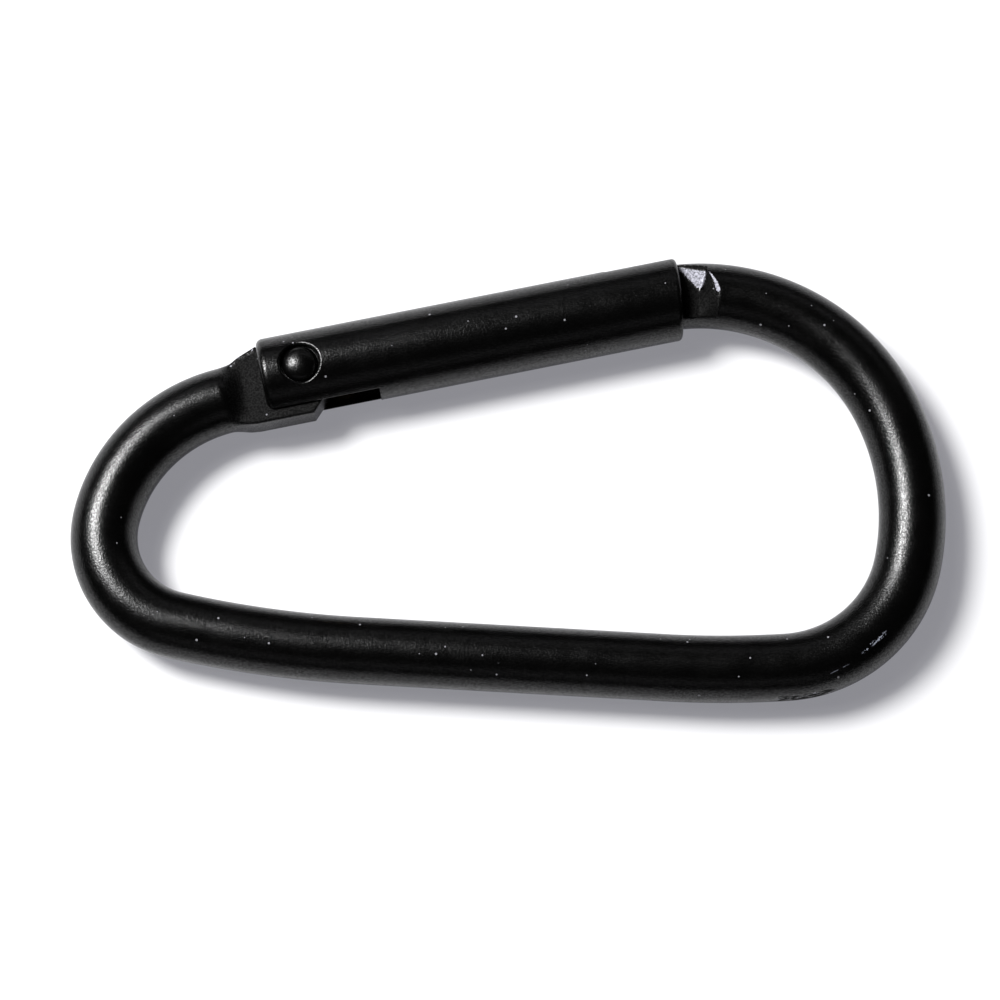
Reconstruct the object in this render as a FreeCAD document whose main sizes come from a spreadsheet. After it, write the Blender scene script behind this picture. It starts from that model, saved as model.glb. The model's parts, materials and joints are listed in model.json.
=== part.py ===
import FreeCAD, Part
import math
import os
import Sketcher

# A D-shaped snap hook for keys, lying flat: a bent rod, a hinged gate, its rivet, coil and pusher.
# +X runs along the straight back of the rod, +Y from the back to the gate, +Z up from the table.
# The origin is the middle of the outline, on the table. Every piece is symmetric about its mid plane.
# The gate, rivet, coil and pusher are drawn from the hinge: x along the gate, y outwards, z upwards.

vector = FreeCAD.Vector
document = FreeCAD.newDocument("carabiner_keyring")

sizes = [
    # the bent rod
    ("rod_diameter", 4.6, "round rod"),
    ("back_drop", 13.4, "back's centre line below the origin"),
    ("back_right", 11.1, "straight back, right of the origin"),
    ("back_left", 9.8, "straight back, left of the origin"),
    ("right_ease_radius", 70.0, "back eases into the right corner"),
    ("right_ease_turn", 6.85, "degrees"),
    ("right_corner_radius", 9.3, "lower right corner"),
    ("right_corner_turn", 73.6, "degrees"),
    ("right_side_radius", 17.4, "right side"),
    ("right_side_turn", 37.2, "degrees"),
    ("nose_radius", 14.0, "bend over the top to the nose"),
    ("left_ease_radius", 75.0, "back eases into the left corner"),
    ("left_ease_turn", 9.6, "degrees"),
    ("left_corner_radius", 6.46, "lower left corner"),
    ("left_corner_turn", 89.8, "degrees"),
    ("tang_bend_radius", 10.95, "bend up to the hinge"),
    # the hinge and the gate's line
    ("hinge_left", 14.95, "hinge, left of the origin"),
    ("hinge_rise", 6.0, "hinge, above the origin in the plan"),
    ("gate_angle", 14.9, "gate's slope to the back, degrees"),
    # the flat hinge tang
    ("flat_thickness", 2.4, "tang and nose, across the flats"),
    ("tang_flat_start", 4.2, "flat ends this far behind the hinge"),
    ("tang_slope_length", 1.3, "run of the slope up to the round rod"),
    ("tang_lower_edge", 3.3, "tang's inner edge from the gate's line"),
    ("tang_upper_edge", 2.1, "tang's outer edge inside the gate"),
    ("tang_wide_edge", 2.24, "tang's outer edge just outside the gate"),
    ("tang_toe", 0.3, "inner corner, beyond the hinge"),
    ("cam_reach", 1.9, "hinge to the cam edge"),
    ("cam_offset", 0.9, "pusher's lift per radian of gate"),
    ("open_angle", 28.0, "gate's full opening, degrees"),
    ("rivet_hole_diameter", 1.6, "hole in the tang"),
    # the nose
    ("nose_tip", 22.6, "tongue's end from the hinge"),
    ("nose_flat_end", 27.7, "centre of the flat's round end"),
    ("nose_flat_offset", 0.45, "round end's centre, inwards of the gate's line"),
    ("nose_flat_radius", 1.75, "round end of the flat"),
    # the gate
    ("gate_diameter", 5.8, "gate bar"),
    ("gate_tail", 2.8, "gate behind the hinge"),
    ("gate_reach", 26.9, "hinge to the free end, on the axis"),
    ("free_end_slant", 6.0, "free end's slant, degrees"),
    ("tail_round", 0.5, "rounded edge of the hinge end"),
    ("free_end_round", 0.3, "rounded edge of the free end"),
    ("hinge_slot_width", 2.6, "slot for the tang"),
    ("hinge_slot_end", 5.05, "slot's end beyond the hinge"),
    ("hinge_slot_deep_end", 2.3, "deep part's end beyond the hinge"),
    ("hinge_slot_roof", 2.28, "deep part's roof above the axis"),
    ("bore_diameter", 3.4, "spring bore"),
    ("bore_end", 11.6, "blind end of the bore from the hinge"),
    ("nose_slot_width", 2.7, "slot for the tongue"),
    ("nose_slot_start", 22.1, "slot's start from the hinge"),
    ("nose_slot_floor", 2.2, "slot's floor below the axis"),
    ("dish_floor", 2.15, "rivet dish floor above the mid plane"),
    ("dish_floor_radius", 1.3, "flat floor"),
    ("dish_mouth_radius", 1.42, "mouth at the top of the bar"),
    ("dish_round", 0.15, "rounded rim of the dish"),
    ("slot_round", 0.08, "rounded edges of the hinge slot"),
    # the rivet
    ("shank_diameter", 1.5, "rivet shank"),
    ("head_diameter", 2.5, "domed head"),
    ("head_height", 0.72, "dome's height"),
    # the pusher and the coil
    ("running_gap", 0.03, "cam to pusher, and coil ends"),
    ("pusher_diameter", 3.2, "pusher's head"),
    ("pusher_length", 1.3, "pusher's head"),
    ("pusher_stem_diameter", 1.6, "stem inside the coil"),
    ("pusher_stem_length", 2.2, "stem inside the coil"),
    ("wire_diameter", 0.5, "spring wire"),
    ("coil_diameter", 3.1, "outside the coil"),
    ("coil_turns", 14.0, "turns of the coil"),
]

sheet = document.addObject("Spreadsheet::Sheet", "sizes")
for row, (alias, value, note) in enumerate(sizes, start=1):
    sheet.set(f"A{row}", str(value))
    sheet.setAlias(f"A{row}", alias)
    sheet.set(f"B{row}", note)
document.recompute()


def size(alias):
    return float(sheet.get(alias))


def plane_of(body, role):
    return next(item for item in body.Origin.OriginFeatures if item.Role == role)


def new_body(label):
    body = document.addObject("PartDesign::Body", label)
    body.Label = label
    return body


def new_sketch(body, name, role, offset=None):
    sketch = body.newObject("Sketcher::SketchObject", name)
    sketch.AttachmentSupport = (plane_of(body, role), [""])
    sketch.MapMode = "FlatFace"
    if offset is not None:
        sketch.AttachmentOffset = offset
    return sketch


def hold(sketch, constraint, name=None, formula=None):
    """Adds a constraint; a formula binds its value to the sheet."""
    index = sketch.addConstraint(constraint)
    if formula is not None:
        sketch.renameConstraint(index, name)
        sketch.setExpression(f"Constraints.{name}", formula)


def circle_at(sketch, name, radius, formula, centre=(0.0, 0.0)):
    """A circle whose centre stays where it is drawn, with its radius from the sheet."""
    index = sketch.addGeometry(Part.Circle(vector(*centre, 0), vector(0, 0, 1), radius))
    if centre == (0.0, 0.0):
        hold(sketch, Sketcher.Constraint("Coincident", index, 3, -1, 1))
    else:
        hold(sketch, Sketcher.Constraint("Block", index))
    hold(sketch, Sketcher.Constraint("Radius", index, radius), f"{name}_radius", formula)
    return index


def rod_path(body, name, side, line_cell, arcs, end_length):
    """The rod's centre line from the middle of the back: a straight, tangent arcs, a short straight.

    side is +1 for the run to the right and -1 for the run to the left.
    """
    sketch = new_sketch(body, name, "XY_Plane")
    point = vector(0, -size("back_drop"), 0)
    heading = 0.0 if side > 0 else math.pi
    corner = point + vector(side * size(line_cell), 0, 0)
    sketch.addGeometry(Part.LineSegment(point, corner))
    hold(sketch, Sketcher.Constraint("PointOnObject", 0, 1, -2))
    hold(sketch, Sketcher.Constraint("DistanceY", 0, 1, -1, 1, size("back_drop")),
         "back_drop", "sizes.back_drop")
    hold(sketch, Sketcher.Constraint("Horizontal", 0))
    first, last = (1, 2) if side > 0 else (2, 1)
    hold(sketch, Sketcher.Constraint("DistanceX", 0, first, 0, last, size(line_cell)),
         "straight", f"sizes.{line_cell}")
    joint = (0, 2)
    point = corner
    for number, (radius_cell, turn, turn_formula) in enumerate(arcs, start=1):
        radius = size(radius_cell)
        inward = vector(-math.sin(heading), math.cos(heading), 0) * side
        centre = point + inward * radius
        begin = heading - side * math.pi / 2
        finish = begin + side * math.radians(turn)
        low, high = min(begin, finish), max(begin, finish)
        arc = Part.ArcOfCircle(Part.Circle(centre, vector(0, 0, 1), radius), low, high)
        index = sketch.addGeometry(arc)
        near, far = (1, 2) if side > 0 else (2, 1)
        hold(sketch, Sketcher.Constraint("Tangent", joint[0], joint[1], index, near))
        hold(sketch, Sketcher.Constraint("Radius", index, radius),
             f"radius_{number}", f"sizes.{radius_cell}")
        hold(sketch, Sketcher.Constraint("Angle", index, math.radians(turn)),
             f"turn_{number}", f"({turn_formula}) * 1 deg")
        point = centre + vector(math.cos(finish), math.sin(finish), 0) * radius
        heading += side * math.radians(turn)
        joint = (index, far)
    end = point + vector(math.cos(heading), math.sin(heading), 0) * end_length
    index = sketch.addGeometry(Part.LineSegment(point, end))
    hold(sketch, Sketcher.Constraint("Tangent", joint[0], joint[1], index, 1))
    hold(sketch, Sketcher.Constraint("Distance", index, end_length), "end_straight", str(end_length))
    return sketch, len(arcs) + 2, end


def outline(sketch, points, arcs=None):
    """A closed outline. arcs maps the number of a side to a point that side bends through."""
    arcs = arcs or {}
    count = len(points)
    for number in range(count):
        start = vector(*points[number], 0)
        end = vector(*points[(number + 1) % count], 0)
        if number in arcs:
            edge = Part.Arc(start, vector(*arcs[number], 0), end)
        else:
            edge = Part.LineSegment(start, end)
        index = sketch.addGeometry(edge)
        sketch.addConstraint(Sketcher.Constraint("Block", index))


def rectangle(sketch, name, left, right, low, high):
    """A rectangle held by four distances from the origin. Each side is (sign, formula)."""
    values = {"left": left, "right": right, "low": low, "high": high}
    place = {}
    for side, (sign, formula) in values.items():
        place[side] = sign * evaluate(formula)
    corners = [
        vector(place["left"], place["low"], 0),
        vector(place["right"], place["low"], 0),
        vector(place["right"], place["high"], 0),
        vector(place["left"], place["high"], 0),
    ]
    base = sketch.GeometryCount
    for number in range(4):
        sketch.addGeometry(Part.LineSegment(corners[number], corners[(number + 1) % 4]))
    for number in range(4):
        following = (number + 1) % 4
        hold(sketch, Sketcher.Constraint("Coincident", base + number, 2, base + following, 1))
    for number in (0, 2):
        hold(sketch, Sketcher.Constraint("Horizontal", base + number))
    for number in (1, 3):
        hold(sketch, Sketcher.Constraint("Vertical", base + number))
    corner_of = {"left": base, "low": base, "right": base + 2, "high": base + 2}
    for side, (sign, formula) in values.items():
        kind = "DistanceX" if side in ("left", "right") else "DistanceY"
        ends = (-1, 1, corner_of[side], 1) if sign > 0 else (corner_of[side], 1, -1, 1)
        hold(sketch, Sketcher.Constraint(kind, *ends, abs(place[side])), f"{name}_{side}", formula)


def evaluate(formula):
    return float(sheet.evalExpression(formula.replace("sizes.", "")))


def feature(body, kind, name, profile, **settings):
    item = body.newObject(f"PartDesign::{kind}", name)
    item.Profile = profile
    for key, value in settings.items():
        setattr(item, key, value)
    profile.Visibility = False
    return item


def check_cut(body, cut, before):
    """A cut that points away from the solid removes nothing and shows no error."""
    after = cut.Shape.Volume
    print(f"  {body.Label}.{cut.Name}: {before:.2f} -> {after:.2f} mm3")
    if not after < before - 1e-3:
        raise RuntimeError(f"{cut.Name} cuts nothing")


def cut_with(body, kind, name, profile, **settings):
    before = body.Shape.Volume
    cut = feature(body, kind, name, profile, **settings)
    document.recompute()
    check_cut(body, cut, before)
    return cut


def round_edges(body, name, cell, chosen):
    """Rounds the tip's edges that the chosen test picks."""
    base = body.Tip
    names = [f"Edge{i}" for i, edge in enumerate(base.Shape.Edges, start=1) if chosen(edge)]
    print(f"  {body.Label}.{name}: {len(names)} edges")
    item = body.newObject("PartDesign::Fillet", name)
    item.Base = (base, names)
    item.setExpression("Radius", f"sizes.{cell}")
    document.recompute()
    return item


gate_turn = FreeCAD.Rotation(vector(0, 0, 1), size("gate_angle"))
hinge = vector(-size("hinge_left"), size("hinge_rise"), 0)
in_gate_line = FreeCAD.Placement(hinge, gate_turn)
mid_plane_rise = "sizes.gate_diameter / 2"


def lay_on_table(item):
    """Lifts a piece drawn about the mid plane so that the gate's bar touches the table."""
    item.setExpression("Placement.Base.z", mid_plane_rise)


def lay_on_hinge(item):
    """Turns and moves a piece drawn from the hinge to its place on the gate's line."""
    item.setExpression("Placement.Rotation.Angle", "sizes.gate_angle * 1 deg")
    item.setExpression("Placement.Base.x", "-sizes.hinge_left")
    item.setExpression("Placement.Base.y", "sizes.hinge_rise")
    item.setExpression("Placement.Base.z", mid_plane_rise)


def cam_point(gate_radians):
    """Where the cam edge meets a flat pusher when the gate is open by this much.

    The edge is the involute of a circle, so the pusher's lift is cam_offset times the angle.
    """
    reach = size("cam_reach") + size("cam_offset") * gate_radians
    offset = size("cam_offset")
    cosine, sine = math.cos(gate_radians), math.sin(gate_radians)
    return (reach * cosine - offset * sine, -reach * sine - offset * cosine)


def build_frame():
    body = new_body("frame")
    section = new_sketch(body, "rod_section", "YZ_Plane")
    radius = size("rod_diameter") / 2
    section.addGeometry(Part.Circle(vector(-size("back_drop"), 0, 0), vector(0, 0, 1), radius))
    hold(section, Sketcher.Constraint("PointOnObject", 0, 3, -1))
    hold(section, Sketcher.Constraint("DistanceX", 0, 3, -1, 1, size("back_drop")),
         "back_drop", "sizes.back_drop")
    hold(section, Sketcher.Constraint("Diameter", 0, size("rod_diameter")),
         "rod_diameter", "sizes.rod_diameter")

    nose_turn = 180 + size("gate_angle") - sum(
        size(f"right_{part}_turn") for part in ("ease", "corner", "side"))
    tang_turn = 180 - size("gate_angle") - size("left_ease_turn") - size("left_corner_turn")
    right_arcs = [
        ("right_ease_radius", size("right_ease_turn"), "sizes.right_ease_turn"),
        ("right_corner_radius", size("right_corner_turn"), "sizes.right_corner_turn"),
        ("right_side_radius", size("right_side_turn"), "sizes.right_side_turn"),
        ("nose_radius", nose_turn, "180 + sizes.gate_angle - sizes.right_ease_turn"
         " - sizes.right_corner_turn - sizes.right_side_turn"),
    ]
    left_arcs = [
        ("left_ease_radius", size("left_ease_turn"), "sizes.left_ease_turn"),
        ("left_corner_radius", size("left_corner_turn"), "sizes.left_corner_turn"),
        ("tang_bend_radius", tang_turn,
         "180 - sizes.gate_angle - sizes.left_ease_turn - sizes.left_corner_turn"),
    ]
    nose_straight = 3.0
    tang_straight = 1.6
    runs = [
        ("right", 1, "back_right", right_arcs, nose_straight),
        ("left", -1, "back_left", left_arcs, tang_straight),
    ]
    for name, side, cell, arcs, straight in runs:
        path, edges, end = rod_path(body, f"{name}_path", side, cell, arcs, straight)
        local = in_gate_line.inverse().multVec(end)
        print(f"  {name} run ends at {local.x:.2f}, {local.y:.2f} from the hinge, along the gate")
        document.recompute()
        pipe = feature(body, "AdditivePipe", f"{name}_run", section)
        pipe.Spine = (path, [f"Edge{i}" for i in range(1, edges + 1)])
        document.recompute()

    # the tang: a flat plate round the rivet, with a cam edge towards the gate's bore
    half_open = math.radians(size("open_angle")) / 2
    cam_top = (size("cam_reach"), -size("cam_offset"))
    cam_low = cam_point(2 * half_open)
    upper = size("tang_upper_edge")
    tail = size("gate_tail")
    plate = new_sketch(body, "tang_plate", "XY_Plane", in_gate_line)
    corner = math.sqrt(0.5) * size("cam_reach")
    outline(
        plate,
        [
            (-tail - 2.6, -2.6),
            (-tail - 1.7, -3.1),
            (-tail - 0.8, -size("tang_lower_edge")),
            (size("tang_toe"), -size("tang_lower_edge")),
            cam_low,
            cam_top,
            (size("cam_reach"), 0),
            (0, size("cam_reach")),
            (-0.8, upper),
            (-tail + 0.06, upper),
            (-tail - 0.05, size("tang_wide_edge")),
            (-tail - 2.5, 1.25),
        ],
        {4: cam_point(half_open), 6: (corner, corner)},
    )
    feature(body, "Pad", "tang", plate, Midplane=True).setExpression("Length", "sizes.flat_thickness")
    document.recompute()

    # the press flattens the rod between two slopes
    beside = FreeCAD.Placement(
        vector(hinge.x, 0, -hinge.y), FreeCAD.Rotation(vector(0, 1, 0), size("gate_angle")))
    squeeze = new_sketch(body, "tang_squeeze", "XZ_Plane", beside)
    flat = size("flat_thickness") / 2
    start = -size("tang_flat_start")
    slope_end = start - size("tang_slope_length")
    crown = size("rod_diameter") / 2 + 0.2
    for up in (1, -1):
        outline(squeeze, [
            (start, up * flat),
            (4, up * flat),
            (4, up * (crown + 1)),
            (slope_end, up * (crown + 1)),
            (slope_end, up * crown),
        ])
    cut_with(body, "Pocket", "tang_flats", squeeze, Midplane=True, Length=12)

    hole = new_sketch(body, "rivet_hole_circle", "XY_Plane", in_gate_line)
    circle_at(hole, "hole", size("rivet_hole_diameter") / 2, "sizes.rivet_hole_diameter / 2")
    cut_with(body, "Pocket", "rivet_hole", hole, Midplane=True, Length=8)

    # the nose tongue: flats on both sides that end in a round hollow
    for name, up in (("upper", 1), ("lower", -1)):
        offset = FreeCAD.Placement(hinge + vector(0, 0, up * flat), gate_turn)
        area = new_sketch(body, f"nose_{name}_area", "XY_Plane", offset)
        radius = size("nose_flat_radius")
        middle = (size("nose_flat_end"), -size("nose_flat_offset"))
        side = 4.0
        outline(
            area,
            [
                (size("nose_tip") - 2, -side),
                (middle[0] - 1.2, -side),
                (middle[0], middle[1] - radius),
                (middle[0] + 0.9, side),
                (size("nose_tip") - 2, side),
            ],
            {2: (middle[0] + radius, middle[1] + 0.1)},
        )
        cut_with(body, "Pocket", f"nose_{name}_flat", area, Length=6, Reversed=up > 0)
    return body


def build_gate():
    body = new_body("gate")
    bar = new_sketch(body, "bar_section", "YZ_Plane")
    circle_at(bar, "bar", size("gate_diameter") / 2, "sizes.gate_diameter / 2")
    bar.setExpression("AttachmentOffset.Base.z", "-sizes.gate_tail")
    feature(body, "Pad", "bar", bar).setExpression("Length", "sizes.gate_tail + sizes.gate_reach + 1")
    document.recompute()

    # the free end is cut a little out of square
    slant = math.tan(math.radians(size("free_end_slant")))
    trim = new_sketch(body, "free_end_line", "XY_Plane")
    reach, edge = size("gate_reach"), 4.0
    outline(trim, [
        (reach - edge * slant, -edge),
        (reach + 3, -edge),
        (reach + 3, edge),
        (reach + edge * slant, edge),
    ])
    cut_with(body, "Pocket", "free_end", trim, Midplane=True, Length=8)

    round_edges(body, "tail_rounding", "tail_round",
                lambda edge: edge.CenterOfMass.x < -size("gate_tail") + 0.01)
    round_edges(body, "free_end_rounding", "free_end_round",
                lambda edge: edge.CenterOfMass.x > reach - 0.5)

    bore = new_sketch(body, "bore_circle", "YZ_Plane")
    circle_at(bore, "bore", size("bore_diameter") / 2, "sizes.bore_diameter / 2")
    cut = cut_with(body, "Pocket", "spring_bore", bore, Length=size("bore_end"), Reversed=True)
    cut.setExpression("Length", "sizes.bore_end")
    document.recompute()

    slots = [
        ("hinge_slot", "sizes.hinge_slot_width",
         (-1, "sizes.gate_tail + 1"), (1, "sizes.hinge_slot_end"), (-1, "sizes.gate_diameter"),
         (-1, "sizes.bore_diameter / 4")),
        ("hinge_slot_deep", "sizes.hinge_slot_width",
         (-1, "sizes.gate_tail + 1"), (1, "sizes.hinge_slot_deep_end"), (-1, "sizes.gate_diameter"),
         (1, "sizes.hinge_slot_roof")),
        ("nose_slot", "sizes.nose_slot_width",
         (1, "sizes.nose_slot_start"), (1, "sizes.gate_reach + 2"), (-1, "sizes.nose_slot_floor"),
         (1, "sizes.gate_diameter")),
    ]
    for name, width, left, right, low, high in slots:
        area = new_sketch(body, f"{name}_area", "XY_Plane")
        rectangle(area, name, left, right, low, high)
        slot = cut_with(body, "Pocket", name, area, Midplane=True, Length=evaluate(width))
        slot.setExpression("Length", width)

    dish = new_sketch(body, "rivet_dish_profile", "XZ_Plane")
    floor, top = size("dish_floor"), size("gate_diameter") / 2 + 0.05
    for up in (1, -1):
        outline(dish, [
            (0, up * floor),
            (size("dish_floor_radius"), up * floor),
            (size("dish_mouth_radius"), up * top),
            (0, up * top),
        ])
    cut_with(body, "Groove", "rivet_dishes", dish, ReferenceAxis=(dish, ["V_Axis"]), Angle=360)

    hole = new_sketch(body, "shank_hole_circle", "XY_Plane")
    circle_at(hole, "hole", size("shank_diameter") / 2, "sizes.shank_diameter / 2")
    cut_with(body, "Pocket", "shank_hole", hole, Midplane=True, Length=8)
    limit = size("gate_diameter") / 2

    def on_the_round(edge):
        return all(abs(math.hypot(p.y, p.z) - limit) < 2e-3 for p in edge.discretize(5))

    def is_dish_mouth(edge):
        near = all(math.hypot(p.x, p.y) < size("dish_mouth_radius") + 0.1 for p in edge.discretize(5))
        return near and on_the_round(edge)

    def is_hinge_slot_mouth(edge):
        middle = edge.valueAt((edge.FirstParameter + edge.LastParameter) / 2)
        inner = abs(middle.z) < size("hinge_slot_width") / 2 + 0.01 and middle.y < 0
        return inner and middle.x < size("hinge_slot_end") + 0.01 and on_the_round(edge)

    round_edges(body, "dish_rounding", "dish_round", is_dish_mouth)
    round_edges(body, "slot_rounding", "slot_round", is_hinge_slot_mouth)
    lay_on_hinge(body)
    return body


def build_rivet():
    """One shank with the same domed head at both ends, both sunk in the gate's dishes."""
    body = new_body("hinge_rivet")
    profile = new_sketch(body, "half_section", "XZ_Plane")
    shank, head = size("shank_diameter") / 2, size("head_diameter") / 2
    seat, height = size("dish_floor"), size("head_height")
    top = seat + height
    rim = 0.12
    dome = (height - rim) / 2 + head ** 2 / (2 * (height - rim))
    half = head * 0.55
    bulge = top - dome + math.sqrt(dome ** 2 - half ** 2)
    outline(
        profile,
        [
            (0, -top),
            (head, -seat - rim),
            (head, -seat),
            (shank, -seat),
            (shank, seat),
            (head, seat),
            (head, seat + rim),
            (0, top),
        ],
        {0: (half, -bulge), 6: (half, bulge)},
    )
    feature(body, "Revolution", "turned", profile, ReferenceAxis=(profile, ["V_Axis"]), Angle=360)
    lay_on_hinge(body)
    return body


def build_pusher():
    """A flat-faced pusher that rides on the cam edge, with a stem that keeps the coil centred."""
    body = new_body("spring_plunger")
    profile = new_sketch(body, "half_section", "XY_Plane")
    face = size("cam_reach") + size("running_gap")
    back = face + size("pusher_length")
    head, stem = size("pusher_diameter") / 2, size("pusher_stem_diameter") / 2
    chamfer = 0.15
    outline(profile, [
        (face, 0),
        (face, head - chamfer),
        (face + chamfer, head),
        (back, head),
        (back, stem),
        (back + size("pusher_stem_length"), stem),
        (back + size("pusher_stem_length"), 0),
    ])
    feature(body, "Revolution", "turned", profile, ReferenceAxis=(profile, ["H_Axis"]), Angle=360)
    lay_on_hinge(body)
    return body


def build_spring():
    """An open coil from the pusher's shoulder to the blind end of the bore."""
    wire = size("wire_diameter") / 2
    start = size("cam_reach") + 2 * size("running_gap") + size("pusher_length") + wire
    length = size("bore_end") - size("running_gap") - wire - start
    helix = document.addObject("Part::Helix", "coil_line")
    helix.setExpression("Radius", "(sizes.coil_diameter - sizes.wire_diameter) / 2")
    helix.Height = length
    helix.Pitch = length / size("coil_turns")
    section = document.addObject("Part::Circle", "wire_section")
    section.setExpression("Radius", "sizes.wire_diameter / 2")
    mean = (size("coil_diameter") - size("wire_diameter")) / 2
    section.Placement = FreeCAD.Placement(vector(mean, 0, 0), FreeCAD.Rotation(vector(1, 0, 0), 90))
    coil = document.addObject("Part::Sweep", "gate_spring")
    coil.Label = "gate_spring"
    coil.Sections = [section]
    coil.Spine = (helix, ["Edge1"])
    coil.Solid = True
    coil.Frenet = True
    along_gate = FreeCAD.Rotation(vector(0, 1, 0), 90)
    ahead = FreeCAD.Placement(vector(start, 0, size("gate_diameter") / 2), along_gate)
    at_hinge = FreeCAD.Placement(hinge, gate_turn)
    coil.Placement = at_hinge.multiply(ahead)
    return coil


frame = build_frame()
lay_on_table(frame)
pieces = [frame, build_gate(), build_rivet(), build_spring(), build_pusher()]
document.recompute()

for item in document.Objects:
    if "Invalid" in item.State or "Error" in item.State:
        raise RuntimeError(f"{item.Name} failed: {item.State}")

os.makedirs("parts", exist_ok=True)
for piece in pieces:
    shape = piece.Shape
    if shape.isNull() or not shape.isValid():
        raise RuntimeError(f"{piece.Label} has no valid shape")
    box = shape.BoundBox
    spans = [(box.XMin, box.XMax), (box.YMin, box.YMax), (box.ZMin, box.ZMax)]
    extent = ", ".join(f"{low:.2f}..{high:.2f}" for low, high in spans)
    print(f"{piece.Label}: {len(shape.Solids)} solid, {shape.Volume:.1f} mm3, x, y, z {extent}")
    shape.exportStep(f"parts/{piece.Label}.step")
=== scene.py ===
import bmesh
import bpy
import json
import math
from mathutils import Matrix, Vector, noise


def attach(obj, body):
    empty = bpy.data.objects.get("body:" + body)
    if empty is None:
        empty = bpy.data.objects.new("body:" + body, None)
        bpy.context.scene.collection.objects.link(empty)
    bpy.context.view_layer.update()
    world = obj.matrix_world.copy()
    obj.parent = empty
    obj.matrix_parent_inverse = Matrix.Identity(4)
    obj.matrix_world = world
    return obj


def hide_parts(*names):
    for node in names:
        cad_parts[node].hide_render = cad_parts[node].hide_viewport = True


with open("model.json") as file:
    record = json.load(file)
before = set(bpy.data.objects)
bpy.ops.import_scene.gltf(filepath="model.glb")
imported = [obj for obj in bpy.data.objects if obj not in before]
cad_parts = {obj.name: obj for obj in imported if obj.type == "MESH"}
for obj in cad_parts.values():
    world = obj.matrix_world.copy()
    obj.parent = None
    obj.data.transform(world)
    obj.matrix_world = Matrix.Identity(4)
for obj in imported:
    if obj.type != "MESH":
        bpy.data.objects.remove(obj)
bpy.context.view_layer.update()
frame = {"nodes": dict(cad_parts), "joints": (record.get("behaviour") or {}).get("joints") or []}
scene = bpy.context.scene
mm = 0.001

hinge = next(j for j in frame["joints"] if j["name"] == "gate_hinge")
slide = next(j for j in frame["joints"] if j["name"] == "plunger_slide")
pivot = Vector(hinge["pos_m"])
alongGate = Vector(slide["axis"]).normalized()
outwards = Vector((-alongGate.y, alongGate.x, 0))
print("frame loaded, hinge at", tuple(round(v / mm, 2) for v in pivot), "mm")


view = {
    "aim": (-0.65, -2.32, 2.9),     # mm, the point that the camera looks at
    "distance": 186.2,              # mm
    "lens": 97.2,                   # mm
    "elevation": 76.0,              # degrees above the table
    "turn": 3.25,                   # degrees from the straight back, seen from above
    "sensor": 36,                   # mm
    "clip": (0.005, 10),            # m
}


def placeCamera():
    tilt = math.radians(view["elevation"])
    turn = math.radians(view["turn"])
    right = Vector((math.cos(turn), math.sin(turn), 0))
    ahead = Vector((-right.y, right.x, 0))
    forward = ahead * math.cos(tilt) - Vector((0, 0, math.sin(tilt)))
    up = right.cross(forward)
    data = bpy.data.cameras.new("camera")
    data.lens = view["lens"]
    data.sensor_width = view["sensor"]
    data.clip_start, data.clip_end = view["clip"]
    camera = bpy.data.objects.new("camera", data)
    scene.collection.objects.link(camera)
    turnTo = Matrix((right, up, -forward)).transposed().to_4x4()
    place = Vector(view["aim"]) * mm - forward * view["distance"] * mm
    camera.matrix_world = Matrix.Translation(place) @ turnTo
    scene.camera = camera
    return right, ahead


right, towardsBack = placeCamera()

white = (1.0, 1.0, 1.0)
coldWhite = (0.96, 0.96, 1.0)
lights = {
    # degrees round from the camera's right and up from the floor; distance and size in mm
    "keyLeft": {"bearing": 153, "elevation": 55, "distance": 420, "shape": "ELLIPSE", "size": (150, 150),
                "radiance": 57.0, "colour": white},
    "keyHalo": {"bearing": 153, "elevation": 54, "distance": 425, "shape": "ELLIPSE", "size": (310, 310),
                "radiance": 3.4, "colour": white},
    "backPanel": {"bearing": 90, "elevation": 37, "distance": 420, "shape": "RECTANGLE", "size": (700, 150),
                  "radiance": 0.36, "colour": coldWhite},
    "frontFill": {"bearing": 268, "elevation": 30, "distance": 420, "shape": "RECTANGLE", "size": (500, 150),
                  "radiance": 0.30, "colour": coldWhite},
}


def placeLights():
    for name, settings in lights.items():
        bearing, elevation = math.radians(settings["bearing"]), math.radians(settings["elevation"])
        flat = right * math.cos(bearing) + towardsBack * math.sin(bearing)
        away = flat * math.cos(elevation) + Vector((0, 0, math.sin(elevation)))
        data = bpy.data.lights.new(name, "AREA")
        data.shape = settings["shape"]
        data.color = settings["colour"]
        data.size, data.size_y = (side * mm for side in settings["size"])
        data.energy = settings["radiance"] * math.pi * data.size * data.size_y
        lamp = bpy.data.objects.new(name, data)
        scene.collection.objects.link(lamp)
        aim = away.to_track_quat("Z", "Y").to_matrix().to_4x4()
        lamp.matrix_world = Matrix.Translation(away * settings["distance"] * mm) @ aim


placeLights()
print("camera and", len(lights), "lights placed")


def linearColour(code):
    # sRGB hex to the linear values that a shader takes
    channels = [int(code[i:i + 2], 16) / 255 for i in (1, 3, 5)]
    return [c / 12.92 if c <= 0.04045 else ((c + 0.055) / 1.055) ** 2.4 for c in channels] + [1]


def addNode(tree, kind, settings=None, **links):
    # one node with its settings, and links from other nodes' sockets to its named inputs
    node = tree.nodes.new(kind)
    for key, value in (settings or {}).items():
        if hasattr(node, key):
            setattr(node, key, value)
        else:
            node.inputs[key].default_value = value
    for key, source in links.items():
        slot = int(key[1:]) if key[0] == "i" and key[1:].isdigit() else key.replace("_", " ")
        tree.links.new(source, node.inputs[slot])
    return node


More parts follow.
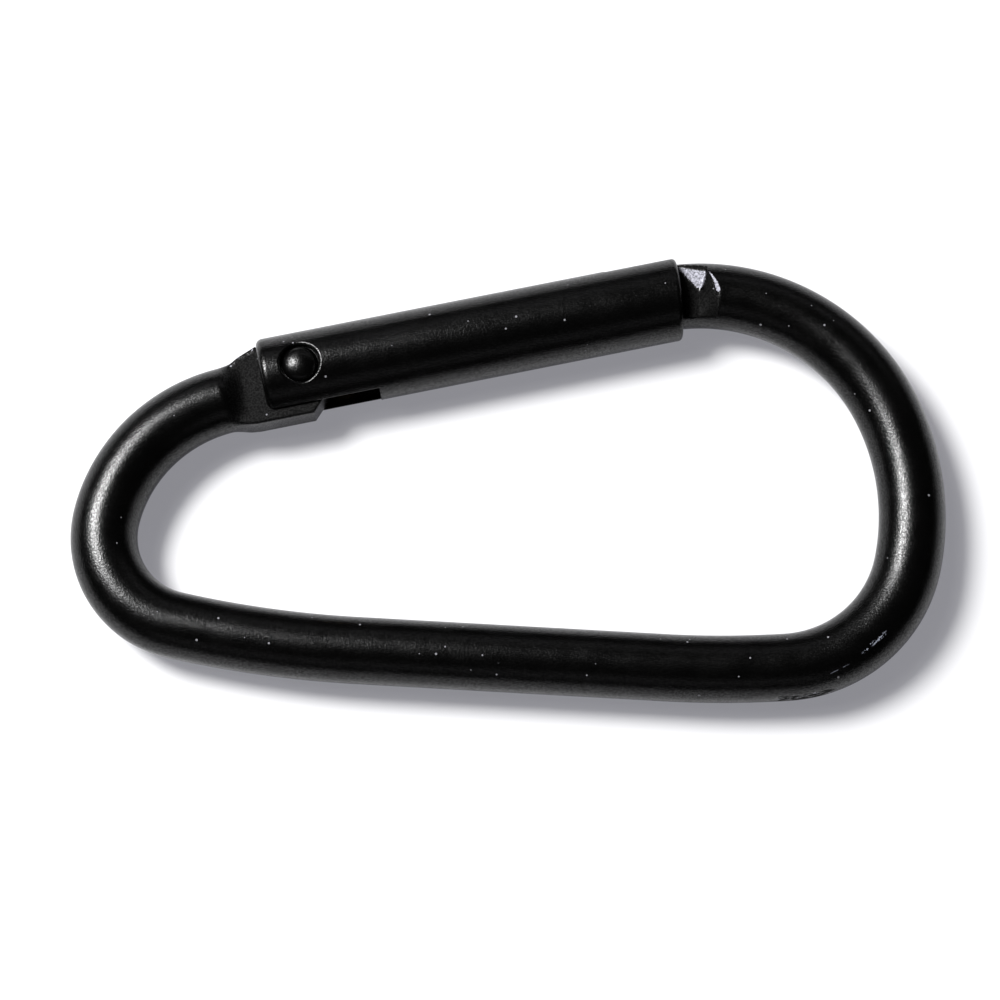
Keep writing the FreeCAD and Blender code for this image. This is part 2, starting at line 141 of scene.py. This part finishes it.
def newMaterial(name):
    material = bpy.data.materials.new(name)
    material.use_nodes = True
    tree = material.node_tree
    tree.nodes.clear()
    output = addNode(tree, "ShaderNodeOutputMaterial")
    shader = addNode(tree, "ShaderNodeBsdfPrincipled")
    tree.links.new(shader.outputs["BSDF"], output.inputs["Surface"])
    return material, tree, shader


def rampBetween(tree, source, low, high, start=0.0, end=1.0):
    # the value from low to high, spread over start to end and held beyond them
    limits = {"From Min": low, "From Max": high, "To Min": start, "To Max": end}
    return addNode(tree, "ShaderNodeMapRange", limits, Value=source).outputs["Result"]


def combine(tree, operation, first, second):
    # two numbers joined by a maths node: MULTIPLY, ADD, MAXIMUM or LESS_THAN
    return addNode(tree, "ShaderNodeMath", {"operation": operation}, i0=first, i1=second).outputs[0]


def noiseOver(tree, where, grainSize, detail=2.0, roughness=0.5):
    # soft noise whose features are about grainSize mm across
    settings = {"Scale": 1 / (grainSize * mm), "Detail": detail, "Roughness": roughness}
    return addNode(tree, "ShaderNodeTexNoise", settings, Vector=where).outputs["Fac"]


def mixColours(tree, share, first, second):
    # each end is either a hex code or another node's socket
    node = addNode(tree, "ShaderNodeMix", {"data_type": "RGBA"}, i0=share)
    for slot, end in ((6, first), (7, second)):
        if isinstance(end, str):
            node.inputs[slot].default_value = linearColour(end)
        else:
            tree.links.new(end, node.inputs[slot])
    return node.outputs[2]


scratches = [
    # from and to in plan, mm; width, the length of the breaks in the line, and how much of it is gap
    {"from": (24.2, -12.1), "to": (25.9, -10.5), "width": 0.3, "breaks": 0.13, "gap": 0.56, "strength": 0.8},
    {"from": (24.9, -11.6), "to": (25.9, -10.4), "width": 0.1, "breaks": 0.25, "gap": 0.46, "strength": 0.7},
    {"from": (22.1, -13.6), "to": (23.5, -12.8), "width": 0.06, "breaks": 0.5, "gap": 0.4, "strength": 0.3},
]
scratchEdges = {
    "core": 0.6,                    # share of the half width that is fully scratched
    "raggedness": 0.06,             # how softly the noise cuts the line
    "upperSide": 0.2,               # mm above the mid plane where the lines are in full
}


def scratchMask(tree, where, settings):
    # a thin broken line on the upper side of the rod
    (x0, y0), (x1, y1) = settings["from"], settings["to"]
    length = math.hypot(x1 - x0, y1 - y0)
    ahead = Vector(((x1 - x0) / length, (y1 - y0) / length, 0))
    sideways = Vector((-ahead.y, ahead.x, 0))
    away = addNode(tree, "ShaderNodeVectorMath", {"operation": "SUBTRACT"}, i0=where)
    away.inputs[1].default_value = (x0 * mm, y0 * mm, 0)
    masks = []
    for direction, middle, limit in ((ahead, length / 2, length / 2), (sideways, 0, settings["width"] / 2)):
        dot = addNode(tree, "ShaderNodeVectorMath", {"operation": "DOT_PRODUCT"}, i0=away.outputs[0])
        dot.inputs[1].default_value = direction
        spread = addNode(tree, "ShaderNodeMath", {"operation": "SUBTRACT"}, i0=dot.outputs["Value"])
        spread.inputs[1].default_value = middle * mm
        reach = addNode(tree, "ShaderNodeMath", {"operation": "ABSOLUTE"}, i0=spread.outputs[0]).outputs[0]
        masks.append(rampBetween(tree, reach, limit * mm, limit * scratchEdges["core"] * mm))
    breaks = noiseOver(tree, where, settings["breaks"], detail=1.0)
    masks.append(rampBetween(tree, breaks, settings["gap"], settings["gap"] + scratchEdges["raggedness"]))
    height = addNode(tree, "ShaderNodeSeparateXYZ", Vector=where).outputs["Z"]
    masks.append(rampBetween(tree, height, pivot.z, pivot.z + scratchEdges["upperSide"] * mm))
    total = rampBetween(tree, masks[0], 0, 1, 0, settings["strength"])
    for mask in masks[1:]:
        total = combine(tree, "MULTIPLY", total, mask)
    return total


blackSkin = {
    "black": "#020202",
    "grain": 0.12,                  # mm, tumbling grain
    "grainDepth": 0.03,             # mm
    "patches": 1.6,                 # mm, slow change of the satin
    "satin": (0.2, 0.25),           # roughness
    "sheen": 0.23,                  # specular level, and its share in the grain's lows and highs
    "sparkle": (0.5, 1.6),
    "sparkleBand": (0.42, 0.6),     # values of the grain's noise between them
    "grainStrength": 0.6,
    "dullSheen": 0.07,              # where the mesh's mask is -1
    "dullRoughness": 0.5,
    "dustCell": 0.85,               # mm between places where a speck may lie
    "dustKeep": (0.5, 0.52),
    "dustRadius": (0.035, 0.105),   # shares of a cell
    "dust": "#6a6a6e",
    "chip": "#8c909c",
    "metal": ("#4a4a4e", "#86868e"),
    "metalRoughness": 0.6,
    "wornAbove": (0.98, 1.06),      # mask and grain together, where the skin gives way
    "wornFrom": (0.02, 0.1),        # mask alone, below which it never does
}
noiseSpread = (0.35, 0.65)          # most of a noise's values lie between these


def makeBlackAnodised():
    # aluminium tumbled, dyed black and sealed: near black and satin, with a fine grain that sparkles in the
    # highlights, pale dust lying on it, and bare metal where the mesh says that the skin is worn through;
    # along the rim of the nose cut that bare metal is partly a painted highlight
    material, tree, shader = newMaterial("aluminiumTumbledBlackAnodised")
    shader.inputs["IOR"].default_value = 1.5
    where = addNode(tree, "ShaderNodeTexCoord").outputs["Object"]
    grain = noiseOver(tree, where, blackSkin["grain"], roughness=0.65)
    patches = noiseOver(tree, where, blackSkin["patches"])
    satin = rampBetween(tree, patches, *noiseSpread, *blackSkin["satin"])

    # dust: one speck in a few of the cells, round and soft
    cells = addNode(tree, "ShaderNodeTexVoronoi", {"Scale": 1 / (blackSkin["dustCell"] * mm)}, Vector=where)
    chosen = addNode(tree, "ShaderNodeSeparateColor", Color=cells.outputs["Color"])
    keep = rampBetween(tree, chosen.outputs["Red"], *blackSkin["dustKeep"])
    big = rampBetween(tree, chosen.outputs["Green"], 0.0, 1.0, *blackSkin["dustRadius"])
    dust = combine(tree, "MULTIPLY", keep, combine(tree, "LESS_THAN", cells.outputs["Distance"], big))

    # wear: the mesh's mask broken up by the grain, 1 where the metal is bare and -1 where the skin is dull
    mask = addNode(tree, "ShaderNodeAttribute", {"attribute_name": "bare"}).outputs["Fac"]
    worn = rampBetween(tree, combine(tree, "ADD", mask, grain), *blackSkin["wornAbove"])
    wornHere = combine(tree, "MULTIPLY", worn, rampBetween(tree, mask, *blackSkin["wornFrom"]))

    chips = scratchMask(tree, where, scratches[0])
    for settings in scratches[1:]:
        chips = combine(tree, "MAXIMUM", chips, scratchMask(tree, where, settings))
    skin = mixColours(tree, dust, blackSkin["black"], blackSkin["dust"])
    chipped = mixColours(tree, chips, skin, blackSkin["chip"])
    metal = mixColours(tree, rampBetween(tree, grain, *noiseSpread), *blackSkin["metal"])
    tree.links.new(mixColours(tree, wornHere, chipped, metal), shader.inputs["Base Color"])
    tree.links.new(wornHere, shader.inputs["Metallic"])

    dull = rampBetween(tree, mask, 0.0, -1.0, 0.0, blackSkin["dullRoughness"])
    matt = combine(tree, "ADD", satin, combine(tree, "MAXIMUM", dust, dull))
    finish = addNode(tree, "ShaderNodeMix", {"data_type": "FLOAT"}, i0=wornHere, i2=matt)
    finish.inputs[3].default_value = blackSkin["metalRoughness"]
    tree.links.new(finish.outputs[0], shader.inputs["Roughness"])
    sparkle = rampBetween(tree, grain, *blackSkin["sparkleBand"], *blackSkin["sparkle"])
    level = rampBetween(tree, mask, 0.0, -1.0, blackSkin["sheen"], blackSkin["dullSheen"])
    tree.links.new(combine(tree, "MULTIPLY", level, sparkle), shader.inputs["Specular IOR Level"])
    relief = {"Strength": blackSkin["grainStrength"], "Distance": blackSkin["grainDepth"] * mm}
    bump = addNode(tree, "ShaderNodeBump", relief, Height=grain)
    tree.links.new(bump.outputs["Normal"], shader.inputs["Normal"])
    return material


def makeBareMetal(name, colour, streak, roughness):
    # uncoated metal whose sheen changes over fine streaks of this size, mm
    material, tree, shader = newMaterial(name)
    shader.inputs["Base Color"].default_value = linearColour(colour)
    shader.inputs["Metallic"].default_value = 1.0
    where = addNode(tree, "ShaderNodeTexCoord").outputs["Object"]
    sheen = rampBetween(tree, noiseOver(tree, where, streak), 0.3, 0.7, *roughness)
    tree.links.new(sheen, shader.inputs["Roughness"])
    return material


paper = {
    "colour": "#b0b0b0",            # lit far enough to come out white
    "glow": "#f2f2fc",              # a little cold light of its own, seen in the shadows
    "glowStrength": 0.28,
    "halfSide": 1.2,                # m
}


def makeFloor():
    # matt paper: a pale even ground with soft cold shadows
    material, tree, shader = newMaterial("whitePaperMatt")
    shader.inputs["Base Color"].default_value = linearColour(paper["colour"])
    shader.inputs["Roughness"].default_value = 0.9
    shader.inputs["Specular IOR Level"].default_value = 0.0
    shader.inputs["Emission Color"].default_value = linearColour(paper["glow"])
    shader.inputs["Emission Strength"].default_value = paper["glowStrength"]
    bm = bmesh.new()
    bmesh.ops.create_grid(bm, x_segments=1, y_segments=1, size=paper["halfSide"])
    mesh = bpy.data.meshes.new("floor")
    bm.to_mesh(mesh)
    bm.free()
    mesh.materials.append(material)
    floor = bpy.data.objects.new("floor", mesh)
    scene.collection.objects.link(floor)


sharpEdge = math.radians(38)


def addPiece(name, bm, material, body, replaced):
    # puts a finished mesh in the scene, riding on its body in place of its CAD node
    bmesh.ops.recalc_face_normals(bm, faces=bm.faces)
    for face in bm.faces:
        face.smooth = True
    mesh = bpy.data.meshes.new(name)
    bm.to_mesh(mesh)
    bm.free()
    mesh.set_sharp_from_angle(angle=sharpEdge)
    mesh.materials.append(material)
    piece = bpy.data.objects.new(name, mesh)
    scene.collection.objects.link(piece)
    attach(piece, body)
    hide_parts(replaced)
    print(name, "has", len(mesh.polygons), "faces")
    return piece


def between(x, table):
    # the value at x on straight lines through a table of (x, value)
    for (x0, v0), (x1, v1) in zip(table, table[1:]):
        if x <= x1:
            return v0 + (v1 - v0) * max(0.0, (x - x0) / (x1 - x0))
    return table[-1][1]


def ease(x, start, end):
    t = min(1.0, max(0.0, (x - start) / (end - start)))
    return t * t * (3 - 2 * t)


def softLower(a, b, blendOver):
    # the lower of two heights, with the crease between them rounded
    t = min(1.0, max(0.0, 0.5 + 0.5 * (b - a) / blendOver))
    return b + (a - b) * t - blendOver * t * (1 - t)


rod = {
    "radius": 2.29,
    "segments": 144,
    "start": (22.63, 0.2),          # nose tip, along the gate and outwards from the hinge
    "route": [
        # length or degrees, radius of the bend, step
        (3.0, None, 0.1), (20.0, 14.0, 0.07), (57.25, 14.0, 0.3), (37.2, 17.4, 0.35), (73.6, 9.3, 0.2),
        (6.85, 70.0, 0.3), (20.9, None, 0.45), (9.6, 75.0, 0.45), (89.8, 6.46, 0.2), (65.7, 10.95, 0.2),
        (2.21, None, 0.1), (0.06, None, 0.06), (1.99, None, 0.1), (0.8, None, 0.1), (0.3, None, 0.1),
        (1.343, None, 0.1), (0.196, None, 0.05), (0.061, None, 0.04),
    ],
    "halfFlat": 1.2,
    "flatEdge": 30.0,               # degrees round the section to the edge of the flat
    "tangStart": -5.7,              # the round section turns into the flat tang between these
    "tangFull": -4.1,
    "tangInner": [(-4.9, -3.16), (-3.6, -3.3), (0.3, -3.3), (1.643, -1.893), (1.839, -1.386), (1.9, -0.9)],
    "tangOuter": [(-4.85, 1.44), (-2.85, 2.24), (-2.79, 2.1), (-0.8, 2.1), (0.0, 1.9)],
    "tangRound": 0.2,
    "roundShare": 0.6,              # share of the flat's points that lie on it, not on its rounded edge
    "tangReach": (2.5, 3),          # mm outwards and along within which the rod is the tang
    "noseReach": (-3, 20),          # and beyond which it is the nose
    "camReach": 1.9,
    "noseRim": (26.1, -0.6, 3.4),   # the cut's round end: centre and radius
    "noseFoot": [(-2.4, 27.8), (-1.0, 28.05), (0.0, 28.35), (1.0, 28.98), (2.3, 29.3)],
    "facetCorner": (27.1, 1.96),
    "facetUphill": (0.862, 0.507),
    "facetSlope": 0.25,
    "crease": 0.05,                 # rounding between the cut and the round rod
    "roughGrain": 0.22,             # the broken look of the cut, mm across and deep
    "roughDepth": 0.02,
    "pinHole": 1.6,
    "pinCutter": 6,                 # length, longer than the tang is thick
}

wear = {
    # from and to of each fade, in mm or in shares of the climb from the cut's foot to its rim
    "uphill": (-0.02, 0.1), "outwards": (-0.15, 0.35), "below": (0.02, 0.3), "shoulder": (-0.06, 0.06),
    "shoulderSlope": 0.44,
    # glint: a strip of bare metal on the cut's rim, partly a worn edge and partly a painted highlight
    "glintRise": (0.8, 0.93), "glintFall": (1.03, 1.12), "glintStart": (-0.95, -0.5), "glintEnd": (0.9, 1.2),
    "glint": 0.9,
    "dullFall": (0.85, 1.0), "dullStart": (26.0, 26.6), "roughStart": (25.6, 26.3),
    "climbEnd": 1.4,
    "tangGrain": 0.3, "tangPatch": (0.1, 0.5), "tangEdge": (-0.35, -0.22), "tangTop": (0.9, 1.1),
    "tangFlat": (1.05, 1.15), "tangDull": 0.9,
}

scrape = {
    "from": 18.4, "to": 22.0, "fade": 0.5,      # mm along the back
    "belowBack": -10,                           # mm, the gate side lies above this
    "facing": math.radians(10), "depth": 0.06,
    "ragged": (0.3, 0.12), "raggedDepth": 0.05,  # mm along and round the rod, and deep
    "fleck": (0.35, 0.12), "fleckAbove": 0.2, "fleckDepth": 0.01, "fleckBare": 0.8,
    "dullDepth": 0.03,
}


def inGateLine(point):
    # a place in the frame as distances along the gate and outwards from the hinge, mm
    away = (point - pivot) / mm
    return away.dot(alongGate), away.dot(outwards)


def rodStations():
    # the centre line from the nose tip round to the tang: place and heading, all bends to the right
    along, out = rod["start"]
    place = pivot + (alongGate * along + outwards * out) * mm
    heading = math.atan2(alongGate.y, alongGate.x)
    stations = [(place, heading)]
    for amount, radius, step in rod["route"]:
        length = amount if radius is None else math.radians(amount) * radius
        count = max(1, round(length / step))
        turn = 0.0 if radius is None else math.radians(amount) / count
        chord = length / count if radius is None else 2 * radius * math.sin(turn / 2)
        for _ in range(count):
            middle = heading - turn / 2
            place = place + Vector((math.cos(middle), math.sin(middle), 0)) * chord * mm
            heading -= turn
            stations.append((place, heading))
    return stations


def tangPoint(angle, inner, outer):
    # where a point at this angle round the rod goes on the flattened section
    edge, flat, soft = math.radians(rod["flatEdge"]), rod["halfFlat"], rod["tangRound"]
    side = 1 if angle >= 0 else -1
    turn = abs(angle)
    if edge <= turn <= math.pi - edge:
        t = (turn - edge) / (math.pi - 2 * edge)
        return outer - soft + (inner - outer + 2 * soft) * t, side * flat
    facing, limit = (1, outer) if turn < edge else (-1, inner)
    share = (turn if turn < edge else math.pi - turn) / edge
    onFlat = rod["roundShare"]
    if share <= onFlat:
        return limit, side * (flat - soft) * share / onFlat
    q = (share - onFlat) / (1 - onFlat) * math.pi / 2
    return limit - facing * soft * (1 - math.cos(q)), side * (flat - soft + soft * math.sin(q))


def noseCut(along, out, high):
    # the height that the cut at the nose leaves of a point on the round rod, and how bare it is; the bare
    # strip along the cut's rim is partly a worn edge and partly a painted highlight (the glint)
    cornerAlong, cornerOut = rod["facetCorner"]
    uphillAlong, uphillOut = rod["facetUphill"]
    over = (along - cornerAlong) * uphillAlong + (out - cornerOut) * uphillOut
    rough = noise.noise(Vector((along, out, 3.0)) / rod["roughGrain"]) * rod["roughDepth"]
    base = rod["halfFlat"] + rough * ease(along, *wear["roughStart"]) + max(0.0, over) * rod["facetSlope"]
    if high <= base:
        return high, 0.0
    foot = between(max(rod["noseFoot"][0][0], out), rod["noseFoot"])
    centreAlong, centreOut, radius = rod["noseRim"]
    rim = max(foot + 0.1, centreAlong + math.sqrt(max(0.01, radius ** 2 - (out - centreOut) ** 2)))
    climb = max(0.0, (along - foot) / (rim - foot))
    if climb > wear["climbEnd"]:
        return high, 0.0
    cut = softLower(high, base + (high - base) * climb, rod["crease"])
    shoulder = out - (cornerOut - (along - cornerAlong) * wear["shoulderSlope"])
    facet = ease(over, *wear["uphill"]) * ease(out, *wear["outwards"]) * (1 - ease(climb, *wear["below"]))
    facet *= 1 - ease(shoulder, *wear["shoulder"])
    # the glint: bare metal along the rim of the cut, partly a worn edge and partly a painted highlight
    glint = ease(climb, *wear["glintRise"]) * (1 - ease(climb, *wear["glintFall"]))
    glint *= ease(out, *wear["glintStart"]) * (1 - ease(out, *wear["glintEnd"]))
    dull = (1 - ease(climb, *wear["dullFall"])) * ease(along, *wear["dullStart"])
    return cut, max(facet, glint * wear["glint"]) or -dull


def sweepRod():
    # the plain round rod, one ring of edges drawn out from station to station
    bm = bmesh.new()
    bm.verts.layers.float.new("bare")
    frames = []
    for place, heading in rodStations():
        forwards = Vector((math.cos(heading), math.sin(heading), 0))
        leftwards = Vector((-forwards.y, forwards.x, 0))
        turnTo = Matrix((leftwards, Vector((0, 0, 1)), forwards)).transposed().to_4x4()
        frames.append(Matrix.Translation(place) @ turnTo)
    first = bmesh.ops.create_circle(bm, cap_ends=True, segments=rod["segments"], radius=rod["radius"] * mm,
                                    matrix=frames[0])
    rings = [first["verts"]]
    edges = list(bm.edges)
    for before, after in zip(frames, frames[1:]):
        grown = bmesh.ops.extrude_edge_only(bm, edges=edges)["geom"]
        edges = [g for g in grown if isinstance(g, bmesh.types.BMEdge)]
        verts = [g for g in grown if isinstance(g, bmesh.types.BMVert)]
        bmesh.ops.transform(bm, matrix=after @ before.inverted(), verts=verts)
        rings.append(verts)
    bmesh.ops.contextual_create(bm, geom=edges)
    return bm, rings, frames


def pressTang(bm, ring, ringFrame, along, out):
    # one ring of the round rod pressed flat, pale where its outer edge is rubbed and dull on its faces
    bare = bm.verts.layers.float["bare"]
    back = ringFrame.inverted()
    share = ease(along, rod["tangStart"], rod["tangFull"])
    inner = between(along, rod["tangInner"]) - out
    outer = between(along, rod["tangOuter"]) - out
    if along > 0:
        outer = math.sqrt(max(0.0, rod["camReach"] ** 2 - along ** 2)) - out
    edgeStart, edgeEnd = (outer + reach for reach in wear["tangEdge"])
    for vert in ring:
        local = back @ vert.co
        x, y = tangPoint(math.atan2(local.y, local.x), inner, outer)
        local.x += (x * mm - local.x) * share
        local.y += (y * mm - local.y) * share
        vert.co = ringFrame @ local
        patch = ease(noise.noise(Vector((along, y, x)) / wear["tangGrain"]), *wear["tangPatch"])
        rubbed = patch * ease(x, edgeStart, edgeEnd) * ease(y, *wear["tangTop"]) * share
        vert[bare] = rubbed or -wear["tangDull"] * ease(abs(y), *wear["tangFlat"]) * share


def pressRod(bm, rings, frames):
    # flattens the tang, cuts the nose, and marks where the black skin is worn off
    bare = bm.verts.layers.float["bare"]
    tangOut, tangAlong = rod["tangReach"]
    noseOut, noseAlong = rod["noseReach"]
    for ring, ringFrame in zip(rings, frames):
        along, out = inGateLine(ringFrame.translation)
        if abs(out) < tangOut and rod["tangStart"] < along < tangAlong:
            pressTang(bm, ring, ringFrame, along, out)
        elif out > noseOut and along > noseAlong:
            for vert in ring:
                above = vert.co.z - pivot.z
                high, vert[bare] = noseCut(*inGateLine(vert.co), abs(above) / mm)
                vert.co.z = pivot.z + math.copysign(high, above) * mm


def scrapeRod(bm, rings, frames):
    # a jagged scrape flattens the outer side where the back meets the wide bow
    bare = bm.verts.layers.float["bare"]
    facing = Vector((math.cos(scrape["facing"]), math.sin(scrape["facing"]), 0))
    start, end, fade = scrape["from"], scrape["to"], scrape["fade"]
    for ring, ringFrame in zip(rings, frames):
        x, y, _ = ringFrame.translation / mm
        if y > scrape["belowBack"] or not start - fade < x < end + fade:
            continue
        back = ringFrame.inverted()
        ends = ease(x, start, start + fade) * (1 - ease(x, end - fade, end))
        for vert in ring:
            local = back @ vert.co
            across = local.y / mm
            reach = local.dot(facing) / mm
            ragged = noise.noise(Vector((x / scrape["ragged"][0], across / scrape["ragged"][1], 0)))
            depth = reach - (rod["radius"] - scrape["depth"] * ends + ragged * scrape["raggedDepth"] * ends)
            if depth > 0 and ends > 0:
                vert.co = ringFrame @ (local - facing * depth * mm)
                fleck = noise.noise(Vector((x / scrape["fleck"][0], across / scrape["fleck"][1], 5.0)))
                pale = fleck > scrape["fleckAbove"] and depth > scrape["fleckDepth"]
                vert[bare] = scrape["fleckBare"] if pale else -ease(depth, 0.0, scrape["dullDepth"])


def cutPinHole(piece):
    # the rivet's hole through the tang
    radius = rod["pinHole"] / 2 * mm
    bm = bmesh.new()
    bmesh.ops.create_cone(bm, cap_ends=True, segments=48, radius1=radius, radius2=radius,
                          depth=rod["pinCutter"] * mm, matrix=Matrix.Translation(pivot))
    mesh = bpy.data.meshes.new("pinHoleCutter")
    bm.to_mesh(mesh)
    bm.free()
    cutter = bpy.data.objects.new("pinHoleCutter", mesh)
    scene.collection.objects.link(cutter)
    hole = piece.modifiers.new("pinHole", "BOOLEAN")
    hole.operation = "DIFFERENCE"
    hole.solver = "EXACT"
    hole.object = cutter
    bpy.context.view_layer.update()
    evaluated = piece.evaluated_get(bpy.context.evaluated_depsgraph_get())
    cutMesh = bpy.data.meshes.new_from_object(evaluated)
    cutMesh.name = piece.name
    piece.modifiers.clear()
    piece.data = cutMesh
    bpy.data.objects.remove(cutter)


black = makeBlackAnodised()
# drawn spring wire: grey, fairly bright, with faint lines from the die
steel = makeBareMetal("springSteelDrawn", "#b4b2ad", 0.08, (0.22, 0.38))
# turned on a lathe: warm yellow with a fine uneven sheen
brass = makeBareMetal("brassTurned", "#d8b566", 0.1, (0.2, 0.34))
makeFloor()
print("materials and floor made")

bm, rings, frames = sweepRod()
pressRod(bm, rings, frames)
scrapeRod(bm, rings, frames)
rodPiece = addPiece("rod", bm, black, "frame", "frame")
cutPinHole(rodPiece)

rivet = {
    "head": 1.25, "shank": 0.75,    # radii
    "seat": 2.15,                   # mid plane to the underside of a head
    "height": 0.72, "edge": 0.06,   # a head's height, and its upright edge
    "steps": 72, "domeSteps": 18,
    "weld": 0.0005,
}


def makeRivet(material):
    # both heads and the shank turned from one profile: flattish domes with round shoulders
    half = [(rivet["shank"], 0.0), (rivet["shank"], rivet["seat"]), (rivet["head"], rivet["seat"])]
    for step in range(rivet["domeSteps"] + 1):
        q = step / rivet["domeSteps"] * math.pi / 2
        rise = (rivet["height"] - rivet["edge"]) * math.sin(q)
        half.append((rivet["head"] * math.cos(q), rivet["seat"] + rivet["edge"] + rise))
    half[-1] = (0.0, half[-1][1])
    bm = bmesh.new()
    profile = [(r, -z) for r, z in reversed(half)] + half[1:]
    verts = [bm.verts.new(pivot + Vector((r, 0, z)) * mm) for r, z in profile]
    edges = [bm.edges.new(pair) for pair in zip(verts, verts[1:])]
    bmesh.ops.spin(bm, geom=verts + edges, cent=pivot, axis=(0, 0, 1), angle=2 * math.pi,
                   steps=rivet["steps"], use_merge=True)
    bmesh.ops.remove_doubles(bm, verts=bm.verts, dist=rivet["weld"] * mm)
    addPiece("rivet", bm, material, "gate", "hinge_rivet")


makeRivet(black)

finishes = {"gate": black, "gate_spring": steel, "spring_plunger": brass}
for name, material in finishes.items():
    frame["nodes"][name].data.materials.clear()
    frame["nodes"][name].data.materials.append(material)

darkRoom = (0.01, 0.01, 0.01, 1)
world = bpy.data.worlds.new("studio")
world.use_nodes = True
world.node_tree.nodes["Background"].inputs["Color"].default_value = darkRoom
scene.world = world
scene.view_settings.view_transform = "Standard"
